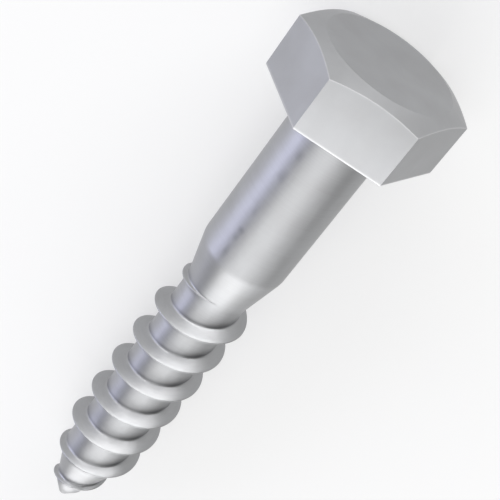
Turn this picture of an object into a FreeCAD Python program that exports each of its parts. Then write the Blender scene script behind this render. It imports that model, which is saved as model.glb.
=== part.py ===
import FreeCAD, Part
import math
import os

# A coach screw: a hexagon-headed wood screw, forged and thread-rolled in one piece.
# It lies as it comes to rest, with the middle of its bearing face at the origin,
# its point towards +X and +Z up. All sizes are in millimetres and degrees.

# Head
across_flats = 13.0
head_height = 5.6
head_top_diameter = 11.1
head_chamfer_angle = 22.8
bearing_edge_radius = 0.15

# Plain shank, and the cone that leads down to the core of the thread
shank_diameter = 7.72
shank_length = 15.0
neck_radius = 0.4
shoulder_radius = 3.0
cone_angle = 12.5
cone_foot_radius = 3.0
core_diameter = 5.67

# Point: the core narrows in a long taper that ends in a short blunt nose with a tiny flat
length_under_head = 48.96
taper_length = 6.2
taper_angle = 18.1
nose_length = 1.65
nose_angle = 32.4
nose_shoulder_radius = 1.0
nose_flat_diameter = 0.12

# Thread: a right-handed fin that rises out of the cone and sinks away in the nose.
# Its first end is placed from the shoulder, its taper and last end from the screw's own end.
thread_diameter = 7.96
pitch = 3.895
flank_angle = 27.3
crest_width = 0.12
run_out_offset = 3.05
run_out_length = 3.45
start_angle = -31.0
thread_taper_length = 8.39
thread_taper_angle = 18.0
fade_length = 1.26
fade_offset = 0.51

# How finely the helix is drawn, and how deep the fin's foot and its two ends lie in the core
points_per_turn = 12
foot_depth = 0.35
end_depth = 0.2

# What follows from these sizes
centre = FreeCAD.Vector(0, 0, 0)
axis = FreeCAD.Vector(1, 0, 0)
full_turn = 360.0
right_angle = 90.0
hex_sides = 6
half_side_angle = full_turn / hex_sides / 2


def slope(angle):
    return math.tan(math.radians(angle))


shank_radius = shank_diameter / 2
core_radius = core_diameter / 2
thread_radius = thread_diameter / 2
head_half_width = across_flats / 2
head_corner_radius = head_half_width / math.cos(math.radians(half_side_angle))
cone_end = shank_length + (shank_radius - core_radius) / slope(cone_angle)
taper_start = length_under_head - taper_length
nose_start = length_under_head - nose_length
nose_start_radius = core_radius - (nose_start - taper_start) * slope(taper_angle)
nose_end_radius = nose_start_radius - nose_length * slope(nose_angle)
nose_round_radius = (nose_end_radius - nose_flat_diameter / 2) / slope((right_angle - nose_angle) / 2)

# Corners of the body's outline, from the bearing face to the point: place, radius, rounding.
# The last rounding is just so large that its arc ends at the nose's flat.
outline = [
    (0.0, head_half_width, 0.0),
    (0.0, shank_radius, neck_radius),
    (shank_length, shank_radius, shoulder_radius),
    (cone_end, core_radius, cone_foot_radius),
    (taper_start, core_radius, 0.0),
    (nose_start, nose_start_radius, nose_shoulder_radius),
    (length_under_head, nose_end_radius, nose_round_radius),
    (length_under_head, 0.0, 0.0),
]


def radius_at(corners, x):
    # Radius of an outline at a place x, along the straight runs between its corners
    for before, after in zip(corners, corners[1:]):
        if x <= after[0]:
            break
    share = (x - before[0]) / (after[0] - before[0])
    return before[1] + share * (after[1] - before[1])


# Reach of the thread's crest along the screw: place, radius. Both ends lie under the surface.
run_out_start = shank_length + run_out_offset
run_out_end = run_out_start + run_out_length
thread_taper_start = length_under_head - thread_taper_length
fade_end = length_under_head - fade_offset
fade_start = fade_end - fade_length
crest_line = [
    (run_out_start, radius_at(outline, run_out_start) - end_depth),
    (run_out_end, thread_radius),
    (thread_taper_start, thread_radius),
    (fade_start, thread_radius - (fade_start - thread_taper_start) * slope(thread_taper_angle)),
    (fade_end, radius_at(outline, fade_end) - end_depth),
]


def line(start, end):
    return Part.LineSegment(start, end).toShape()


def turned(edges):
    # Solid made by turning a closed outline about the screw's axis
    return Part.Face(Part.Wire(edges)).revolve(centre, axis, full_turn)


def rounded_corner(before, corner, after, radius):
    # Start, middle and end of the arc that rounds the corner between two straight runs
    back = (before - corner).normalize()
    ahead = (after - corner).normalize()
    inward = (back + ahead).normalize()
    half_angle = back.getAngle(ahead) / 2
    run = radius / math.tan(half_angle)
    middle = corner + inward * (radius / math.sin(half_angle) - radius)
    return corner + back * run, middle, corner + ahead * run


def make_body():
    # Shank, cone, core and point as one turned shape
    corners = [FreeCAD.Vector(x, 0, radius) for x, radius, _ in outline]
    edges = []
    pen = centre
    for index in range(1, len(outline)):
        rounding = outline[index][2]
        if rounding:
            start, middle, end = rounded_corner(*corners[index - 1:index + 2], rounding)
            edges.append(line(pen, start))
            edges.append(Part.Arc(start, middle, end).toBSpline().toShape())
            pen = end
        else:
            edges.append(line(pen, corners[index]))
            pen = corners[index]
    edges.append(line(pen, centre))
    return turned(edges)


def make_head():
    # Hexagonal prism with level flats above and below, cut back to a wide cone at its top
    corners = []
    for side in range(hex_sides):
        angle = math.radians(half_side_angle * (2 * side + 1))
        corners.append(FreeCAD.Vector(0, -math.sin(angle), math.cos(angle)) * head_corner_radius)
    bearing_face = Part.Face(Part.makePolygon(corners + corners[:1]))
    prism = bearing_face.extrude(axis * -head_height)
    bearing_edges = [edge for edge in prism.Edges if edge.BoundBox.XMin > -bearing_edge_radius]
    prism = prism.makeFillet(bearing_edge_radius, bearing_edges)
    top_radius = head_top_diameter / 2
    blank_radius = 2 * head_corner_radius
    chamfer_depth = (blank_radius - top_radius) * slope(head_chamfer_angle)
    blank = [
        FreeCAD.Vector(-head_height, 0, 0),
        FreeCAD.Vector(-head_height, 0, top_radius),
        FreeCAD.Vector(chamfer_depth - head_height, 0, blank_radius),
        FreeCAD.Vector(chamfer_depth, 0, blank_radius),
        FreeCAD.Vector(chamfer_depth, 0, 0),
    ]
    return prism.common(turned([line(*ends) for ends in zip(blank, blank[1:] + blank[:1])]))


def thread_point(x, radius, aside):
    # Point at the turn where the thread's crest lies at x, moved aside along the axis
    turn = math.radians(start_angle + (x - run_out_start) / pitch * full_turn)
    return FreeCAD.Vector(x + aside, -radius * math.sin(turn), radius * math.cos(turn))


def make_fin(start, end):
    # Piece of the thread between two places of its crest, drawn from four helical edges
    steps = math.ceil((end - start) / pitch * points_per_turn)
    places = [start + (end - start) * step / steps for step in range(steps + 1)]
    curves = []
    for side, on_crest in ((-1, False), (-1, True), (1, True), (1, False)):
        points = []
        for x in places:
            reach = radius_at(crest_line, x)
            radius = reach if on_crest else radius_at(outline, x) - foot_depth
            aside = side * (crest_width / 2 + (reach - radius) * slope(flank_angle))
            points.append(thread_point(x, radius, aside))
        curve = Part.BSplineCurve()
        curve.interpolate(Points=points, Parameters=places)
        curves.append(curve)
    faces = [curves[index - 1].makeRuledSurface(curves[index]).toShape() for index in range(len(curves))]
    for place in (places[0], places[-1]):
        corners = [curve.value(place) for curve in curves]
        faces.append(Part.Face(Part.makePolygon(corners + corners[:1])))
    shell = Part.makeShell(faces)
    shell.sewShape()
    return Part.Solid(shell)


def make_thread():
    # The fin in pieces of a turn at most, parted where its crest line changes direction
    pieces = []
    for (start, _), (end, _) in zip(crest_line, crest_line[1:]):
        count = math.ceil((end - start) / pitch)
        span = (end - start) / count
        pieces += [make_fin(start + piece * span, start + (piece + 1) * span) for piece in range(count)]
    return pieces


def resting_tilt():
    # The screw lies on the edge of its head's lower flat and on the crests straight under the axis
    place = run_out_start + (full_turn / 2 - start_angle) / full_turn * pitch
    tilts = []
    while place < fade_start:
        drop = head_half_width - radius_at(crest_line, place)
        tilts.append(math.degrees(math.atan2(drop, place + bearing_edge_radius)))
        place += pitch
    return min(tilts)


screw = make_body().fuse(make_head())
for fin in make_thread():
    screw = screw.fuse(fin)
screw.rotate(centre, FreeCAD.Vector(0, 1, 0), resting_tilt())

os.makedirs("parts", exist_ok=True)
screw.exportStep("parts/coach_screw.step")
box = screw.optimalBoundingBox(False)
print("coach screw: valid", screw.isValid(), "solids", len(screw.Solids), "faces", len(screw.Faces))
print("volume %.1f mm3, tilt %.2f degrees" % (screw.Volume, resting_tilt()))
print("box %.2f %.2f %.2f to %.2f %.2f %.2f" % (box.XMin, box.YMin, box.ZMin, box.XMax, box.YMax, box.ZMax))
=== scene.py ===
# %% [markdown]
# # A coach screw, lying on a pale table
#
# A coach screw is a heavy wood screw with a hexagonal head. It is forged and rolled from one
# piece of steel and then plated with zinc. This notebook dresses the construction model of such a
# screw: it builds the same screw once more with fine edges, a smooth thread and a plated finish.
#
# The construction model comes first, because every size has to stay as it is there. Its box is
# kept, to set the table's height and middle under the screw.

# %% The construction model
import bisect
import math

import bpy
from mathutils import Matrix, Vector


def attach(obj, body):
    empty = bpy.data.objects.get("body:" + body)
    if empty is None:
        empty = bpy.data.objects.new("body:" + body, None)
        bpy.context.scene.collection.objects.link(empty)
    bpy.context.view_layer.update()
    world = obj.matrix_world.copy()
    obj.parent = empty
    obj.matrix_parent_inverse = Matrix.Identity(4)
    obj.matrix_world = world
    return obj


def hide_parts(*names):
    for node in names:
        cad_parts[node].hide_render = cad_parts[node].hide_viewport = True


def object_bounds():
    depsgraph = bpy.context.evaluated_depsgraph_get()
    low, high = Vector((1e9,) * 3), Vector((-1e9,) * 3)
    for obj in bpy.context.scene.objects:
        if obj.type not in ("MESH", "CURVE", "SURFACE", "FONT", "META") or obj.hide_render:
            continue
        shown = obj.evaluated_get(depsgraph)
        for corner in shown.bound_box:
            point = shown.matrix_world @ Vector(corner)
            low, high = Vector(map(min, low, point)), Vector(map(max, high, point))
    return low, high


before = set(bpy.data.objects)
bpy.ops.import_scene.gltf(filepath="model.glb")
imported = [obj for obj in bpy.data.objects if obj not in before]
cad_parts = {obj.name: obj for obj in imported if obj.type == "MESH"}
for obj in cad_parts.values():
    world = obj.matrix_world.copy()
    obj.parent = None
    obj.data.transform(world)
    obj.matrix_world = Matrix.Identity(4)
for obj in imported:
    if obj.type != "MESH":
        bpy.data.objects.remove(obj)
cad_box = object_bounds()
print("construction model from", cad_box[0], "to", cad_box[1])

# %% [markdown]
# ## Sizes
#
# The screw is shaped in millimetres, along X, with the middle of its head's bearing face at the
# origin. At the end it is made smaller to metres and tilted to the way it lies. Shaping it at
# this larger scale keeps the operators' distances plain to read, and their rounding far below
# anything that shows.
#
# The values are those of the construction model. Three are added here, for fine shapes that the
# construction model leaves out: the soft start of the point's taper, the shorter pitch of the
# thread's run-out, and how deep under the surface that run-out begins.

# %% Sizes in millimetres and degrees, as in the construction model
MM = 0.001
FULL_TURN = 2 * math.pi
RIGHT_ANGLE = 90.0
HEX_SIDES = 6

ACROSS_FLATS = 13.0
HEAD_HEIGHT = 5.6
HEAD_TOP_DIAMETER = 11.1
HEAD_CHAMFER_ANGLE = 22.8
BEARING_EDGE_RADIUS = 0.15

SHANK_DIAMETER = 7.72
SHANK_LENGTH = 15.0
NECK_RADIUS = 0.4
SHOULDER_RADIUS = 3.0
CONE_ANGLE = 12.5
CONE_FOOT_RADIUS = 3.0
CORE_DIAMETER = 5.67

LENGTH_UNDER_HEAD = 48.96
TAPER_LENGTH = 6.2
TAPER_ANGLE = 18.1
TAPER_ROUNDING = 0.6
NOSE_LENGTH = 1.65
NOSE_ANGLE = 32.4
NOSE_SHOULDER_RADIUS = 1.0
NOSE_FLAT_DIAMETER = 0.12

THREAD_DIAMETER = 7.96
PITCH = 3.895
FLANK_ANGLE = 27.3
CREST_WIDTH = 0.12
RUN_OUT_OFFSET = 3.05
RUN_OUT_LENGTH = 3.45
RUN_OUT_PITCH = 3.3
RUN_OUT_DEPTH = 0.25
START_ANGLE = -31.0
THREAD_TAPER_LENGTH = 8.39
THREAD_TAPER_ANGLE = 18.0
FADE_LENGTH = 1.26
FADE_OFFSET = 0.51
END_DEPTH = 0.2


def slope(angle):
    return math.tan(math.radians(angle))


# %% [markdown]
# ## The outline of the turned parts
#
# Seen from the side, the shank, the cone under it, the core of the thread and the point are one
# line from the head to the tip. The line is straight between a few corners, and each corner is
# rounded by an arc. Writing the corners down once gives both the shape to be turned and the
# radius of the body at any place, which the thread needs to grow out of it.

# %% Corners of the outline: place, radius, rounding
shank_radius = SHANK_DIAMETER / 2
core_radius = CORE_DIAMETER / 2
thread_radius = THREAD_DIAMETER / 2
cone_end = SHANK_LENGTH + (shank_radius - core_radius) / slope(CONE_ANGLE)
taper_start = LENGTH_UNDER_HEAD - TAPER_LENGTH
nose_start = LENGTH_UNDER_HEAD - NOSE_LENGTH
nose_start_radius = core_radius - (nose_start - taper_start) * slope(TAPER_ANGLE)
nose_end_radius = nose_start_radius - NOSE_LENGTH * slope(NOSE_ANGLE)
nose_half_turn = (RIGHT_ANGLE - NOSE_ANGLE) / 2
nose_round_radius = (nose_end_radius - NOSE_FLAT_DIAMETER / 2) / slope(nose_half_turn)
NECK_FLARE = 1.0

corners = [
    (0.0, shank_radius + NECK_FLARE, 0.0),
    (0.0, shank_radius, NECK_RADIUS),
    (SHANK_LENGTH, shank_radius, SHOULDER_RADIUS),
    (cone_end, core_radius, CONE_FOOT_RADIUS),
    (taper_start, core_radius, TAPER_ROUNDING),
    (nose_start, nose_start_radius, NOSE_SHOULDER_RADIUS),
    (LENGTH_UNDER_HEAD, nose_end_radius, nose_round_radius),
    (LENGTH_UNDER_HEAD, 0.0, 0.0),
]
ARC_STEPS = 12


def rounded(corners):
    """The outline as a chain of points, with each rounding drawn as a short row of steps."""
    points = []
    for index, (x, radius, rounding) in enumerate(corners):
        corner = Vector((x, radius))
        if not rounding:
            points.append(corner)
            continue
        back = (Vector(corners[index - 1][:2]) - corner).normalized()
        ahead = (Vector(corners[index + 1][:2]) - corner).normalized()
        half = back.angle(ahead) / 2
        run = rounding / math.tan(half)
        hub = corner + (back + ahead).normalized() * rounding / math.sin(half)
        start = corner + back * run - hub
        end = corner + ahead * run - hub
        sweep = start.angle(end)
        for step in range(ARC_STEPS + 1):
            share = step / ARC_STEPS
            arm = start * math.sin((1 - share) * sweep) + end * math.sin(share * sweep)
            points.append(hub + arm / math.sin(sweep))
    return points


outline = rounded(corners)[1:]
print("outline of", len(outline), "points")


# %% [markdown]
# ## Reading radii off the outlines
#
# The thread has an outline of its own: the line that its crest follows. It rises out of the cone,
# runs level, narrows towards the point and sinks into the nose. Both ends lie a little under the
# surface, so that the thread seems to grow out of the body. In its run-out the helix of this screw
# is a little tighter than in the rest, so places on an even helix are drawn in there.

# %% Radius of the body and reach of the crest at a place along the screw
def radius_at(points, x):
    places = [point[0] for point in points]
    index = min(max(bisect.bisect_right(places, x), 1), len(points) - 1)
    before, after = points[index - 1], points[index]
    run = after[0] - before[0]
    share = (x - before[0]) / run if run else 1.0
    return before[1] + min(max(share, 0.0), 1.0) * (after[1] - before[1])


run_out_start = SHANK_LENGTH + RUN_OUT_OFFSET
run_out_end = run_out_start + RUN_OUT_LENGTH
thread_taper_start = LENGTH_UNDER_HEAD - THREAD_TAPER_LENGTH
fade_end = LENGTH_UNDER_HEAD - FADE_OFFSET
fade_start = fade_end - FADE_LENGTH
fade_start_reach = thread_radius - (fade_start - thread_taper_start) * slope(THREAD_TAPER_ANGLE)


def drawn_in(x):
    """Where a place on an even helix comes to lie: nearer to the point within the run-out."""
    short = max(run_out_end - x, 0.0)
    return x + short * (1 - RUN_OUT_PITCH / PITCH)


crest_line = [
    (run_out_start, radius_at(corners, run_out_start) - RUN_OUT_DEPTH),
    (run_out_end, thread_radius),
    (thread_taper_start, thread_radius),
    (fade_start, fade_start_reach),
    (fade_end, radius_at(corners, fade_end) - END_DEPTH),
]
fade_start_height = fade_start_reach - radius_at(corners, fade_start)
head_half_width = ACROSS_FLATS / 2
rest_places = [run_out_start + (math.pi - math.radians(START_ANGLE)) / FULL_TURN * PITCH]
while rest_places[-1] + PITCH < fade_start:
    rest_places.append(rest_places[-1] + PITCH)
tilt = min(
    math.atan2(head_half_width - radius_at(crest_line, x), x + BEARING_EDGE_RADIUS)
    for x in rest_places
)
print("the screw lies with its point %.2f degrees down" % math.degrees(tilt))


# %% [markdown]
# ## Helpers for modelling
#
# Blender's modelling operators work on the active object and on what is selected in it. These
# helpers start a piece from a primitive, select faces, edges or points by where they are, and
# apply a modifier, so that the cells below read as the steps a person would take by hand.

# %% Start, select and apply
def start(primitive, **settings):
    bpy.ops.object.select_all(action="DESELECT")
    getattr(bpy.ops.mesh, primitive)(**settings)
    piece = bpy.context.active_object
    bpy.ops.object.transform_apply(location=True, rotation=True, scale=True)
    return piece


def activate(piece):
    bpy.ops.object.select_all(action="DESELECT")
    piece.select_set(True)
    bpy.context.view_layer.objects.active = piece


def pick(piece, kind, wanted):
    """Leaves the piece in edit mode with just those points, edges or faces selected."""
    activate(piece)
    bpy.ops.object.mode_set(mode="EDIT")
    bpy.ops.mesh.select_mode(type={"vertices": "VERT", "edges": "EDGE", "polygons": "FACE"}[kind])
    bpy.ops.mesh.select_all(action="DESELECT")
    bpy.ops.object.mode_set(mode="OBJECT")
    mesh = piece.data
    count = 0
    for item in getattr(mesh, kind):
        points = [item.co] if kind == "vertices" else [mesh.vertices[i].co for i in item.vertices]
        item.select = all(wanted(point) for point in points)
        count += item.select
    bpy.ops.object.mode_set(mode="EDIT")
    return count


def done():
    bpy.ops.object.mode_set(mode="OBJECT")


def modify(piece, kind, **settings):
    activate(piece)
    modifier = piece.modifiers.new(kind.lower(), kind)
    for name, value in settings.items():
        setattr(modifier, name, value)
    bpy.ops.object.modifier_apply(modifier=modifier.name)


def report(piece):
    mesh = piece.data
    sides = {}
    for polygon in mesh.polygons:
        for key in polygon.edge_keys:
            sides[key] = sides.get(key, 0) + 1
    open_edges = sum(1 for count in sides.values() if count != 2)
    triangles = sum(len(polygon.vertices) - 2 for polygon in mesh.polygons)
    print(piece.name, len(mesh.vertices), "points", triangles, "triangles", open_edges, "open")


# %% [markdown]
# ## The head
#
# The head of the real screw is upset hot from the round bar: a hexagon with a flat bearing face,
# a round-cornered lower edge and a top that is turned to a wide cone, so that the spanner finds
# its way on. A six-sided cylinder gives the hexagon, and cutting it with a wide turned cone gives
# the curved edges where the cone meets the six flats, just as the die does.

# %% Hexagon with a rounded bearing edge
corner_radius = head_half_width / math.cos(FULL_TURN / HEX_SIDES / 2)
head = start(
    "primitive_cylinder_add",
    vertices=HEX_SIDES,
    radius=corner_radius,
    depth=HEAD_HEIGHT,
    location=(-HEAD_HEIGHT / 2, 0, 0),
    rotation=(0, math.pi / 2, 0),
)
head.name = "head"
NEAR = 0.001
BEARING_EDGE_STEPS = 3
pick(head, "edges", lambda point: abs(point.x) < NEAR)
bpy.ops.mesh.bevel(offset=BEARING_EDGE_RADIUS, segments=BEARING_EDGE_STEPS, affect="EDGES")
done()
report(head)

# %% Cone that cuts the top
CONE_SIDES = 288
blank_radius = 2 * corner_radius
chamfer_depth = (blank_radius - HEAD_TOP_DIAMETER / 2) * slope(HEAD_CHAMFER_ANGLE)
blank = start(
    "primitive_cone_add",
    vertices=CONE_SIDES,
    radius1=HEAD_TOP_DIAMETER / 2,
    radius2=blank_radius,
    depth=chamfer_depth,
    location=(chamfer_depth / 2 - HEAD_HEIGHT, 0, 0),
    rotation=(0, math.pi / 2, 0),
)
blank_end = chamfer_depth - HEAD_HEIGHT
pick(blank, "polygons", lambda point: point.x > blank_end - NEAR)
bpy.ops.mesh.extrude_region_move(TRANSFORM_OT_translate={"value": (HEAD_HEIGHT, 0, 0)})
done()
modify(head, "BOOLEAN", operation="INTERSECT", solver="EXACT", object=blank)
bpy.data.objects.remove(blank)
report(head)

# %% Fine bevels along the chamfer's arcs and the upright edges
EDGE_BEVEL = 0.07


def on_side_face(point):
    """Whether a point lies on one of the six flats, measured square to each of them."""
    from_axis = math.hypot(point.y, point.z)
    angle = math.atan2(point.z, point.y)
    facing = [math.radians(RIGHT_ANGLE) + FULL_TURN / HEX_SIDES * side for side in range(HEX_SIDES)]
    return any(abs(from_axis * math.cos(angle - turn) - head_half_width) < NEAR for turn in facing)


pick(head, "edges", lambda point: point.x < -BEARING_EDGE_RADIUS + NEAR and on_side_face(point))
bpy.ops.mesh.bevel(offset=EDGE_BEVEL, segments=1, affect="EDGES", clamp_overlap=True)
done()
report(head)

# %% [markdown]
# ## Shank, cone, core and point
#
# On the real screw these are one round bar, reduced by rolling. The thread's part of it is built
# further down together with the thread, so here are only the plain lengths at its two ends: the
# shank with the upper cone, and the tip of the nose. Each starts as a circle that is extruded and
# made wider or narrower, from one point of the outline to the next.

# %% Two lengths of bar, drawn out ring by ring
AROUND = 128
HEAD_OVERLAP = 1.0
RUN_OUT_MARGIN = 0.3
SHANK_BRIDGE = 0.1
NOSE_MARGIN = 0.04
thread_zone_start = run_out_start - RUN_OUT_MARGIN
thread_zone_end = fade_end + NOSE_MARGIN
bar_end = thread_zone_start - SHANK_BRIDGE
nose_cut = thread_zone_end + NOSE_MARGIN


def drawn_bar(name, rings):
    """A round bar through rings of given place and radius, open at its last ring."""
    first = rings[0]
    piece = start(
        "primitive_circle_add",
        vertices=AROUND,
        radius=first[1],
        fill_type="NGON",
        location=(first[0], 0, 0),
        rotation=(0, math.pi / 2, 0),
    )
    piece.name = name
    bpy.ops.object.mode_set(mode="EDIT")
    bpy.ops.mesh.select_all(action="SELECT")
    for before, after in zip(rings, rings[1:]):
        move = {"value": (after[0] - before[0], 0, 0)}
        bpy.ops.mesh.extrude_region_move(TRANSFORM_OT_translate=move)
        size = after[1] / before[1]
        bpy.ops.transform.resize(value=(1, size, size), center_override=(after[0], 0, 0))
    bpy.ops.mesh.delete(type="ONLY_FACE")
    done()
    return piece


neck_start = outline[0]
shank_rings = [(-HEAD_OVERLAP, neck_start[1]), (-NEAR, neck_start[1])]
shank_rings += [(point[0], point[1]) for point in outline[1:] if point[0] < bar_end]
shank_rings.append((bar_end, radius_at(outline, bar_end)))
shank = drawn_bar("shank", shank_rings)
report(shank)

tip_rings = [(point[0], point[1]) for point in reversed(outline[:-1]) if point[0] > nose_cut]
tip_rings.append((nose_cut, radius_at(outline, nose_cut)))
tip = drawn_bar("tip", tip_rings)
report(tip)

# %% [markdown]
# ## The thread and its core
#
# The thread is rolled between dies that press the grooves and push the metal up into a sharp
# fin. A straight line as long as one pitch, swept round with the Screw modifier, gives one even
# sheet that covers the core without a gap. Each point of that sheet is then moved to its place in
# the thread's cross-section: crest, crest edge, flank, root or core. Because the section is worked
# out anew at each turn, the fin can rise, narrow and sink away without a break in the sheet.

# %% Cross-section of the thread on one side of its crest
CREST_ROUNDING = 0.035
CREST_PARTS = 4
ROOT_ROUNDING = 0.16
ROOT_PARTS = 2.5
FOOT_TRIES = 6
crest_steps, edge_steps, flank_steps, root_steps, core_steps = 1, 3, 4, 7, 6
half_steps = crest_steps + edge_steps + flank_steps + root_steps + core_steps
half_pitch = PITCH / 2
half_crest = CREST_WIDTH / 2


def body_radius(x):
    return radius_at(outline, min(x, LENGTH_UNDER_HEAD - NEAR))


def curve(start, bend, end, steps):
    """Points of a smooth bend, without its first one."""
    points = []
    for step in range(1, steps + 1):
        share = step / steps
        points.append((1 - share) ** 2 * start + 2 * share * (1 - share) * bend + share**2 * end)
    return points


def section(crest, side):
    """Points from the middle of the crest at this place to the middle of the groove on one side."""
    x = drawn_in(crest)
    inside = run_out_start < crest < fade_end
    reach = radius_at(crest_line, crest) if inside else body_radius(x) - END_DEPTH
    foot_run = half_crest
    for _ in range(FOOT_TRIES):
        height = max(reach - body_radius(x + side * foot_run), 0.0)
        foot_run = half_crest + height * slope(FLANK_ANGLE)
    foot = Vector((x + side * foot_run, body_radius(x + side * foot_run)))
    edge = Vector((x + side * half_crest, foot[1] + height))
    flank = foot - edge
    round_off = min(CREST_ROUNDING, flank.length / CREST_PARTS)
    root = min(ROOT_ROUNDING, flank.length / ROOT_PARTS)
    down = flank.normalized() if flank.length > NEAR else Vector((0.0, 0.0))
    top = Vector((x, max(reach, body_radius(x))))
    crest_end = edge - Vector((side * round_off, 0.0))
    flank_start = edge + down * round_off
    flank_end = foot - down * root
    core_start_x = foot[0] + side * root
    core_start = Vector((core_start_x, body_radius(core_start_x)))
    points = [top] + curve(top, (top + crest_end) / 2, crest_end, crest_steps)
    points += curve(crest_end, edge, flank_start, edge_steps)
    points += curve(flank_start, (flank_start + flank_end) / 2, flank_end, flank_steps)
    points += curve(flank_end, foot, core_start, root_steps)
    core_end_x = drawn_in(crest + side * half_pitch)
    for step in range(1, core_steps + 1):
        place = core_start_x + step / core_steps * (core_end_x - core_start_x)
        points.append(Vector((place, body_radius(place))))
    return points


print("each side of the crest has", half_steps, "steps")

# %% Sweep of one pitch
crest_at_top = run_out_start - math.radians(START_ANGLE) / FULL_TURN * PITCH
first_place = run_out_end + (thread_zone_start - run_out_end) * PITCH / RUN_OUT_PITCH
first_crest = crest_at_top - PITCH * math.ceil((crest_at_top + half_pitch - first_place) / PITCH)
turns = math.ceil((thread_zone_end + half_pitch - first_crest) / PITCH)
thread = start(
    "primitive_grid_add",
    x_subdivisions=2 * half_steps,
    y_subdivisions=1,
    size=PITCH,
    location=(first_crest, half_pitch, thread_radius),
)
thread.name = "thread"
pick(thread, "vertices", lambda point: point.y > half_pitch)
bpy.ops.mesh.delete(type="VERT")
done()
modify(
    thread,
    "SCREW",
    axis="X",
    angle=FULL_TURN,
    screw_offset=PITCH,
    steps=AROUND,
    render_steps=AROUND,
    iterations=turns,
    use_merge_vertices=False,
)
report(thread)

# %% Each point to its place in the section
sections = {}
for vertex in thread.data.vertices:
    x, y, z = vertex.co
    turned_by = math.atan2(-y, z) / FULL_TURN
    crest = crest_at_top + turned_by * PITCH
    crest += PITCH * round((x - crest) / PITCH)
    side = 1 if x > crest else -1
    step = round(abs(x - crest) / half_pitch * half_steps)
    key = (round(crest, 4), side)
    if key not in sections:
        sections[key] = section(crest, side)
    place, radius = sections[key][step]
    around = turned_by * FULL_TURN
    vertex.co = (place, -radius * math.sin(around), radius * math.cos(around))
print("worked out", len(sections), "sections")

# %% [markdown]
# ## One closed piece
#
# The swept sheet starts and ends in a slanting edge, so it is cut square at both ends, where there
# is no fin, and bridged to the two plain lengths of bar. A union with the head then gives one
# closed skin, as the real screw has.

# %% Cut square, joined and bridged
MERGE_DISTANCE = 0.0005
pick(thread, "vertices", lambda point: True)
bpy.ops.mesh.remove_doubles(threshold=MERGE_DISTANCE)
for place, direction in ((thread_zone_start, -1), (thread_zone_end, 1)):
    bpy.ops.mesh.select_all(action="SELECT")
    cut = {"plane_co": (place, 0, 0), "plane_no": (direction, 0, 0)}
    bpy.ops.mesh.bisect(**cut, clear_outer=True, threshold=MERGE_DISTANCE)
done()
report(thread)
activate(shank)
thread.select_set(True)
tip.select_set(True)
bpy.ops.object.join()
screw = shank
screw.name = "coach_screw_plated"
for rims in ((bar_end, thread_zone_start), (thread_zone_end, nose_cut)):
    pick(screw, "edges", lambda point: min(abs(point.x - rim) for rim in rims) < MERGE_DISTANCE)
    bpy.ops.mesh.bridge_edge_loops()
    done()
report(screw)
pick(screw, "vertices", lambda point: True)
bpy.ops.mesh.normals_make_consistent(inside=False)
done()
modify(screw, "BOOLEAN", operation="UNION", solver="EXACT", object=head)
bpy.data.objects.remove(head)
report(screw)

# %% [markdown]
# ## Lying down
#
# Nothing holds the screw, so it lies on the edge of its head's lower flat and on the crests of the
# thread, with its point a little down. The tilt and the change from millimetres to metres are
# applied to the mesh, and then the piece takes the place of the construction model's solid.

# %% Tilt, scale and smooth shading
SMOOTH_BELOW = 14.0
activate(screw)
screw.rotation_euler = (0, tilt, 0)
screw.scale = (MM, MM, MM)
bpy.ops.object.transform_apply(location=True, rotation=True, scale=True)
bpy.ops.object.shade_smooth_by_angle(angle=math.radians(SMOOTH_BELOW))
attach(screw, "root")
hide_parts("coach_screw")

# %% [markdown]
# ## Sums on material values
#
# A material's pattern is made of small sums: a noise times a mask, one minus a slope. Blender does
# them with Math nodes. The class below wraps a socket, so that such a sum can be written as one
# line of Python, and each sign in it adds its node. All other nodes come from one method.

# %% Sockets that can be added and multiplied
class Wire:
    """A socket of a material, or of the world, that can be reckoned with like a number."""

    def __init__(self, tree, socket):
        self.tree = tree
        self.socket = socket

    def sum_node(self, operation, first, second=0.0, third=0.0):
        sockets = {0: first, 1: second, 2: third}
        return Pattern(self.tree).node("ShaderNodeMath", {"operation": operation}, sockets)[0]

    def __add__(self, other):
        return self.sum_node("ADD", self, other)

    def __sub__(self, other):
        return self.sum_node("SUBTRACT", self, other)

    def __rsub__(self, other):
        return self.sum_node("SUBTRACT", other, self)

    def __mul__(self, other):
        return self.sum_node("MULTIPLY", self, other)

    def __truediv__(self, other):
        return self.sum_node("DIVIDE", self, other)

    def __pow__(self, other):
        return self.sum_node("POWER", self, other)

    __radd__ = __add__
    __rmul__ = __mul__

    def clipped(self):
        return self.sum_node("MINIMUM", self.sum_node("MAXIMUM", self, 0.0), 1.0)

    def turned_from(self, other):
        return self.sum_node("ARCTAN2", self, other)

    def fraction(self):
        return self.sum_node("FRACT", self)

    def size(self):
        return self.sum_node("ABSOLUTE", self)

    def or_more(self, other):
        return self.sum_node("MAXIMUM", self, other)


class Pattern:
    """Adds nodes to a tree: their settings first, then the values or links of their sockets."""

    def __init__(self, tree):
        self.tree = tree

    def node(self, kind, settings=None, sockets=None):
        made = self.tree.nodes.new(kind)
        for name, value in (settings or {}).items():
            setattr(made, name, value)
        for name, value in (sockets or {}).items():
            if isinstance(value, Wire):
                self.tree.links.new(value.socket, made.inputs[name])
            else:
                made.inputs[name].default_value = value
        return [Wire(self.tree, socket) for socket in made.outputs]

    def noise(self, place, scale, detail=2.0, roughness=0.5):
        sockets = {"Vector": place, "Scale": scale, "Detail": detail, "Roughness": roughness}
        return self.node("ShaderNodeTexNoise", {"normalize": True}, sockets)[0]

    def vector(self, x, y, z):
        return self.node("ShaderNodeCombineXYZ", None, {"X": x, "Y": y, "Z": z})[0]


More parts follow.
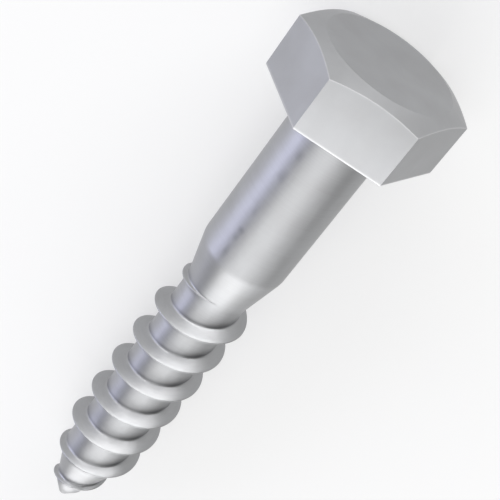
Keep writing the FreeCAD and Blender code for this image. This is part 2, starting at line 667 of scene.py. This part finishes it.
# %% [markdown]
# ## Where a point lies on the screw
#
# All marks on a screw run along it or round it, because it was drawn, rolled and turned. So the
# finish needs three numbers at each point: how far along the axis it lies, how far from the axis,
# and in which direction. A Mapping node turns the tilted screw back to level and counts in
# millimetres.

# %% Place along, away from and around the axis
plating = bpy.data.materials.new("zinc_plating")
plating.use_nodes = True
pattern = Pattern(plating.node_tree)
shader = plating.node_tree.nodes["Principled BSDF"]
object_place = pattern.node("ShaderNodeTexCoord")[3]
level = {"Vector": object_place, "Rotation": (0, -tilt, 0), "Scale": (1 / MM,) * 3}
place = pattern.node("ShaderNodeMapping", {"vector_type": "POINT"}, level)[0]
along, across, upward = pattern.node("ShaderNodeSeparateXYZ", None, {"Vector": place})
away = (across * across + upward * upward) ** 0.5
around = across.turned_from(upward)
print("pattern counted in millimetres from the bearing face")

# %% [markdown]
# ## Zinc plating
#
# Bright zinc on rolled steel is a satin metal: it mirrors its surroundings, but blurred. A metallic
# surface with a middling roughness gives that, and three kinds of marks keep it from looking like
# plastic. Soft clouds and shallow blots are left by the plating bath. Long faint lines run along
# the flats of the head, from forging. Fine rings run round the shank and the thread, from rolling.
# Each is a noise, stretched by squeezing one of its coordinates.

# %% Clouds, drawn lines and rolled rings
CLOUDS_PER_MM = 0.33
BLOTS_PER_MM = 0.9
BLOT_SQUEEZE = 0.5
LINES_PER_MM = 1.3
LINE_SQUEEZE = 0.08
LINE_ROUGHNESS = 0.6
RINGS_PER_MM = 7.0
RING_SQUEEZE = 0.06
HEAD_BLEND = 0.5
clouds = pattern.noise(place, CLOUDS_PER_MM, detail=3.0)
blots = pattern.noise(pattern.vector(along * BLOT_SQUEEZE, across, upward), BLOTS_PER_MM)
line_place = pattern.vector(along * LINE_SQUEEZE, across, upward)
drawn = pattern.noise(line_place, LINES_PER_MM, detail=3.0, roughness=LINE_ROUGHNESS)
rings = pattern.noise(pattern.vector(along, away, around * RING_SQUEEZE), RINGS_PER_MM)
on_head = (along * (-1 / HEAD_BLEND)).clipped()
print("marks ready")

# %% [markdown]
# ## Painted shade in the root of the thread
#
# The core is painted darker right beside the fin, as painted shade where the narrow groove would
# be in shadow. The crest's place at each point follows from the direction round the axis, and the
# distance from it tells how near the root is. Towards the point the painted shade fades.

# %% Distance from the root of the thread
ROOT_WIDTH = 0.5
ROOT_EDGE = 0.15
ROOT_FADE = 1.5
RISE_START = 0.5
POINT_SHADE_FADE = 0.7
full_run = (thread_radius - core_radius) * slope(FLANK_ANGLE)
low_run_share = fade_start_height / (thread_radius - core_radius)
even_place = along - (run_out_end - along).or_more(0.0) * (PITCH / RUN_OUT_PITCH - 1)
turns_along = (even_place - crest_at_top) * (1 / PITCH)
phase = (turns_along + around * (1 / FULL_TURN) + 0.5).fraction() - 0.5
crest_place = even_place - phase * PITCH
risen = ((crest_place - run_out_start - RISE_START) * (1 / (RUN_OUT_LENGTH - RISE_START))).clipped()
lowered = ((crest_place - thread_taper_start) * (1 / (taper_start - thread_taper_start))).clipped()
fin_height = risen * (1 - lowered * (1 - low_run_share))
past_foot = phase.size() * PITCH - fin_height * full_run - half_crest
beside_foot = (past_foot * (1 / ROOT_EDGE)).clipped() * (1 - past_foot * (1 / ROOT_WIDTH)).clipped()
# Painted shade: the core is darkened beside the fin's root, and less so towards the point.
painted_root_shade = beside_foot ** ROOT_FADE * risen * (1 - lowered * POINT_SHADE_FADE)
print("root lies %.2f mm beside the crest" % (full_run + half_crest))

# %% [markdown]
# ## Painted edge highlights and painted reflections
#
# The head's edges are painted lighter and smoother, as a painted highlight for the thin glint they
# catch. The mask finds them where two surfaces meet: the flats with the chamfer, and the flats
# with the bearing face. A few soft dark smudges on the shank are painted reflections of dark parts
# of the surroundings; each is placed by its distance along the shank and its direction round it.

# %% Edges of the head
EDGE_WIDTH = 0.08
ARC_HIGHLIGHT = 0.35
BEARING_EDGE_WIDTH = 0.28
BEARING_HIGHLIGHT = 0.6
BEARING_MARGIN = 1.0
half, lean = math.cos(FULL_TURN / HEX_SIDES), math.sin(FULL_TURN / HEX_SIDES)
nearest_flat = upward.size().or_more((across * lean + upward * half).size())
nearest_flat = nearest_flat.or_more((across * -lean + upward * half).size())
under_flat = (head_half_width - nearest_flat).size()
chamfer_fall = (away - HEAD_TOP_DIAMETER / 2) * slope(HEAD_CHAMFER_ANGLE)
under_chamfer = (along + HEAD_HEIGHT - chamfer_fall).size()
at_flat = (1 - under_flat * (1 / EDGE_WIDTH)).clipped()
at_chamfer = (1 - under_chamfer * (1 / EDGE_WIDTH)).clipped()
off_the_shank = (away - shank_radius - BEARING_MARGIN).clipped()
at_bearing_face = (1 - along.size() * (1 / BEARING_EDGE_WIDTH)).clipped() * off_the_shank
# Painted highlight: the head's edges are lighter and smoother, for the thin glint they catch.
painted_edge_highlight = (at_flat * at_chamfer * ARC_HIGHLIGHT + at_bearing_face * BEARING_HIGHLIGHT).clipped()
print("edges worn over %.2f mm" % EDGE_WIDTH)

# %% Painted dark reflections: place along, direction in degrees, length, width, strength
REFLECTION_SMUDGES = (
    (3.0, -27.0, 0.7, 0.5, 0.6),
    (5.4, -27.5, 0.8, 0.6, 0.7),
    (9.2, -29.5, 0.6, 0.4, 0.35),
    (11.3, -29.5, 0.45, 0.4, 1.0),
    (12.1, -30.0, 0.5, 0.35, 0.6),
    (13.7, -29.5, 0.8, 0.35, 0.7),
)
RAGS_PER_MM = 0.9
ragged = pattern.noise(place, RAGS_PER_MM, detail=3.0) - 0.5
# Painted reflections: soft dark smudges on the shank, for dark parts of the surroundings it
# mirrors.
marks = 0.0
for mark_place, mark_direction, mark_length, mark_width, strength in REFLECTION_SMUDGES:
    lengthways = (along - mark_place) * (1 / mark_length)
    sideways = (around - math.radians(mark_direction)) * (shank_radius / mark_width)
    distance = (lengthways * lengthways + sideways * sideways) ** 0.5 + ragged
    marks = marks + (1 - distance).clipped() * strength
print(len(REFLECTION_SMUDGES), "handling marks")

# %% Colour
LIGHT_ZINC = (0.38, 0.384, 0.393, 1)
DARK_ZINC = (0.34, 0.342, 0.348, 1)
# Painted shade in the thread's root.
ROOT_SHADE_ZINC = (0.1, 0.1, 0.105, 1)
# Painted highlight along the head's edges.
EDGE_HIGHLIGHT_ZINC = (0.7, 0.7, 0.71, 1)
# Painted dark reflections on the shank.
REFLECTION_SMUDGE_ZINC = (0.25, 0.252, 0.262, 1)
TONE_START, TONE_GAIN = 0.3, 2.0
ROOT_STRENGTH = 0.7


def blended(amount, first, second):
    settings = {"data_type": "RGBA", "blend_type": "MIX"}
    return pattern.node("ShaderNodeMix", settings, {"Factor": amount, 6: first, 7: second})[2]


tone = ((clouds - TONE_START) * TONE_GAIN + (rings - 0.5) * (1 - on_head)).clipped()
# The root of the thread is darkened by painted shade.
colour = blended(painted_root_shade * ROOT_STRENGTH, blended(tone, DARK_ZINC, LIGHT_ZINC), ROOT_SHADE_ZINC)
# The shank gets painted dark reflections.
colour = blended(marks, colour, REFLECTION_SMUDGE_ZINC)
# The head's edges get a painted highlight.
colour = blended(painted_edge_highlight, colour, EDGE_HIGHLIGHT_ZINC)
print("colour ready")

# %% Sheen and relief
SHEEN = 0.39
CLOUD_SHEEN, LINE_SHEEN, ROOT_SHEEN, EDGE_HIGHLIGHT_SHEEN = 0.08, 0.05, 0.1, -0.15
LINE_RELIEF, RING_RELIEF = 0.3, 0.35
RELIEF_STRENGTH = 0.25
RELIEF_DEPTH = 0.06
roughness = SHEEN + clouds * CLOUD_SHEEN + drawn * LINE_SHEEN
roughness = roughness + painted_root_shade * ROOT_SHEEN + painted_edge_highlight * EDGE_HIGHLIGHT_SHEEN
relief = blots + drawn * LINE_RELIEF * on_head + rings * RING_RELIEF * (1 - on_head)
bump_sockets = {"Height": relief, "Strength": RELIEF_STRENGTH, "Distance": RELIEF_DEPTH * MM}
bump = pattern.node("ShaderNodeBump", None, bump_sockets)[0]
plating.node_tree.links.new(colour.socket, shader.inputs["Base Color"])
plating.node_tree.links.new(roughness.socket, shader.inputs["Roughness"])
plating.node_tree.links.new(bump.socket, shader.inputs["Normal"])
shader.inputs["Metallic"].default_value = 1.0
screw.data.materials.clear()
screw.data.materials.append(plating)
print("finished in", plating.name, "with", len(plating.node_tree.nodes), "nodes")

# %% [markdown]
# ## The table
#
# The screw lies on a plain matt table in a pale grey, wide enough to fill any view. A white ground
# must not come from more light, which would bleach the metal. So the table is mixed with plain
# white where the camera looks at it or the metal mirrors it: by half near the screw, where its
# shadow has to stay, and wholly further out, as on a sheet of paper that sweeps up behind.

# %% Table top
low = cad_box[0]
TABLE_SIZE = 4.0
TABLE_COLOUR = (0.72, 0.72, 0.72, 1)
TABLE_ROUGHNESS = 0.9
table = start("primitive_plane_add", size=TABLE_SIZE, location=(0, 0, low.z))
table.name = "table"
table_top = bpy.data.materials.new("table_top")
table_top.use_nodes = True
table_shader = table_top.node_tree.nodes["Principled BSDF"]
table_shader.inputs["Base Color"].default_value = TABLE_COLOUR
table_shader.inputs["Roughness"].default_value = TABLE_ROUGHNESS
table_shader.inputs["Specular IOR Level"].default_value = 0.0
table.data.materials.append(table_top)
print("table top at %.2f mm" % (low.z / MM))

# %% The table as the camera and the metal see it
PALE_SHARE = 0.5
SHADOW_REACH = 0.012
FADE_TO_WHITE = 0.05
NARROWING = 0.4
table_pattern = Pattern(table_top.node_tree)
table_place = table_pattern.node("ShaderNodeTexCoord")[3]
axes = table_pattern.node("ShaderNodeSeparateXYZ", None, {"Vector": table_place})
lengthways = (axes[0] - (cad_box[0].x + cad_box[1].x) / 2) * NARROWING
from_screw = (lengthways * lengthways + axes[1] * axes[1]) ** 0.5
far_off = ((from_screw - SHADOW_REACH) * (1 / FADE_TO_WHITE)).clipped()
rays = {ray.socket.name: ray for ray in table_pattern.node("ShaderNodeLightPath")}
seen = (rays["Is Camera Ray"] + rays["Is Glossy Ray"] + rays["Is Transmission Ray"]).clipped()
pale = seen * (far_off * (1 - PALE_SHARE) + PALE_SHARE)
white = table_pattern.node("ShaderNodeEmission", None, {"Color": (1, 1, 1, 1), "Strength": 1.0})[0]
matt = Wire(table_top.node_tree, table_shader.outputs["BSDF"])
mixed = table_pattern.node("ShaderNodeMixShader", None, {0: pale, 1: matt, 2: white})[0]
table_output = table_top.node_tree.nodes["Material Output"]
table_top.node_tree.links.new(mixed.socket, table_output.inputs["Surface"])
print("the table is lightened by a share of", PALE_SHARE, "near the screw")

# %% [markdown]
# ## Studio light
#
# Metal shows what stands around it, so it is lit by wide soft boxes in a dim grey room, as in a
# photo studio. The strongest stands low behind the head and lights the upper flanks of the thread.
# Two stand low beyond the point, for the cone and the nose. Two hang above, one of them forward of
# the screw, for the bright line along the shank. A cooler one stands low on the left and gives the
# blue tint there. Each box is placed by its direction and by the angle it fills as seen from the
# screw, in degrees, so its distance hardly matters.

# %% Soft boxes round the screw
LAMP_DISTANCE = 0.35
ROOM_LEVEL = 0.2
MIDDLE = Vector((0.02, 0.0, 0.0))
world = bpy.data.worlds.new("studio")
bpy.context.scene.world = world
world.use_nodes = True
world.node_tree.nodes["Background"].inputs["Color"].default_value = (1, 1, 1, 1)
world.node_tree.nodes["Background"].inputs["Strength"].default_value = ROOM_LEVEL


def softbox(name, azimuth, elevation, width, height, brightness, tint=(1, 1, 1)):
    """A soft box seen from the screw in this direction, filling these angles, in degrees."""
    flat, rise = math.radians(azimuth), math.radians(elevation)
    heading = Vector((math.cos(flat), math.sin(flat), 0.0))
    direction = heading * math.cos(rise) + Vector((0.0, 0.0, math.sin(rise)))
    data = bpy.data.lights.new(name, "AREA")
    data.shape = "RECTANGLE"
    data.size = 2 * LAMP_DISTANCE * slope(width / 2)
    data.size_y = 2 * LAMP_DISTANCE * slope(height / 2)
    data.energy = brightness * math.pi * data.size * data.size_y
    data.color = tint
    lamp = bpy.data.objects.new(name, data)
    bpy.context.scene.collection.objects.link(lamp)
    lamp.location = MIDDLE + direction * LAMP_DISTANCE
    lamp.rotation_euler = direction.to_track_quat("Z", "Y").to_euler()
    lamp.visible_camera = False
    print(name, "box of %.2f by %.2f m" % (data.size, data.size_y))


softbox("behind_head", 190, 21, 78, 22, 6.4)
softbox("beyond_point", 6, 18, 42, 40, 3.4)
softbox("beyond_point_right", 42, 20, 30, 36, 1.6)
softbox("forward_high", 0, 53, 66, 22, 2.05)
softbox("overhead", 0, 86, 40, 50, 1.42)
softbox("left_low", -80, 12, 60, 32, 3.1, tint=(0.77, 0.785, 1.0))

# %% [markdown]
# ## The camera
#
# The camera looks down on the screw from behind its head, from so near that the head looks larger
# than the point. Its place, its turn and its lens were found together, by laying the screw's
# outline over the picture until they agreed.

# %% Camera
LENS = 92.02
SENSOR_WIDTH = 36.0
NEAREST, FURTHEST = 0.005, 10.0
CAMERA_PLACE = (-0.035073, -0.013547, 0.089458)
CAMERA_TURN = (-28.2255, 9.4311, 122.4253)
camera_data = bpy.data.cameras.new("camera")
camera_data.lens = LENS
camera_data.sensor_width = SENSOR_WIDTH
camera_data.clip_start = NEAREST
camera_data.clip_end = FURTHEST
camera = bpy.data.objects.new("camera", camera_data)
bpy.context.scene.collection.objects.link(camera)
camera.location = CAMERA_PLACE
camera.rotation_euler = [math.radians(angle) for angle in CAMERA_TURN]
bpy.context.scene.camera = camera
bpy.context.scene.view_settings.view_transform = "Standard"
print("camera with a lens of", LENS, "mm")
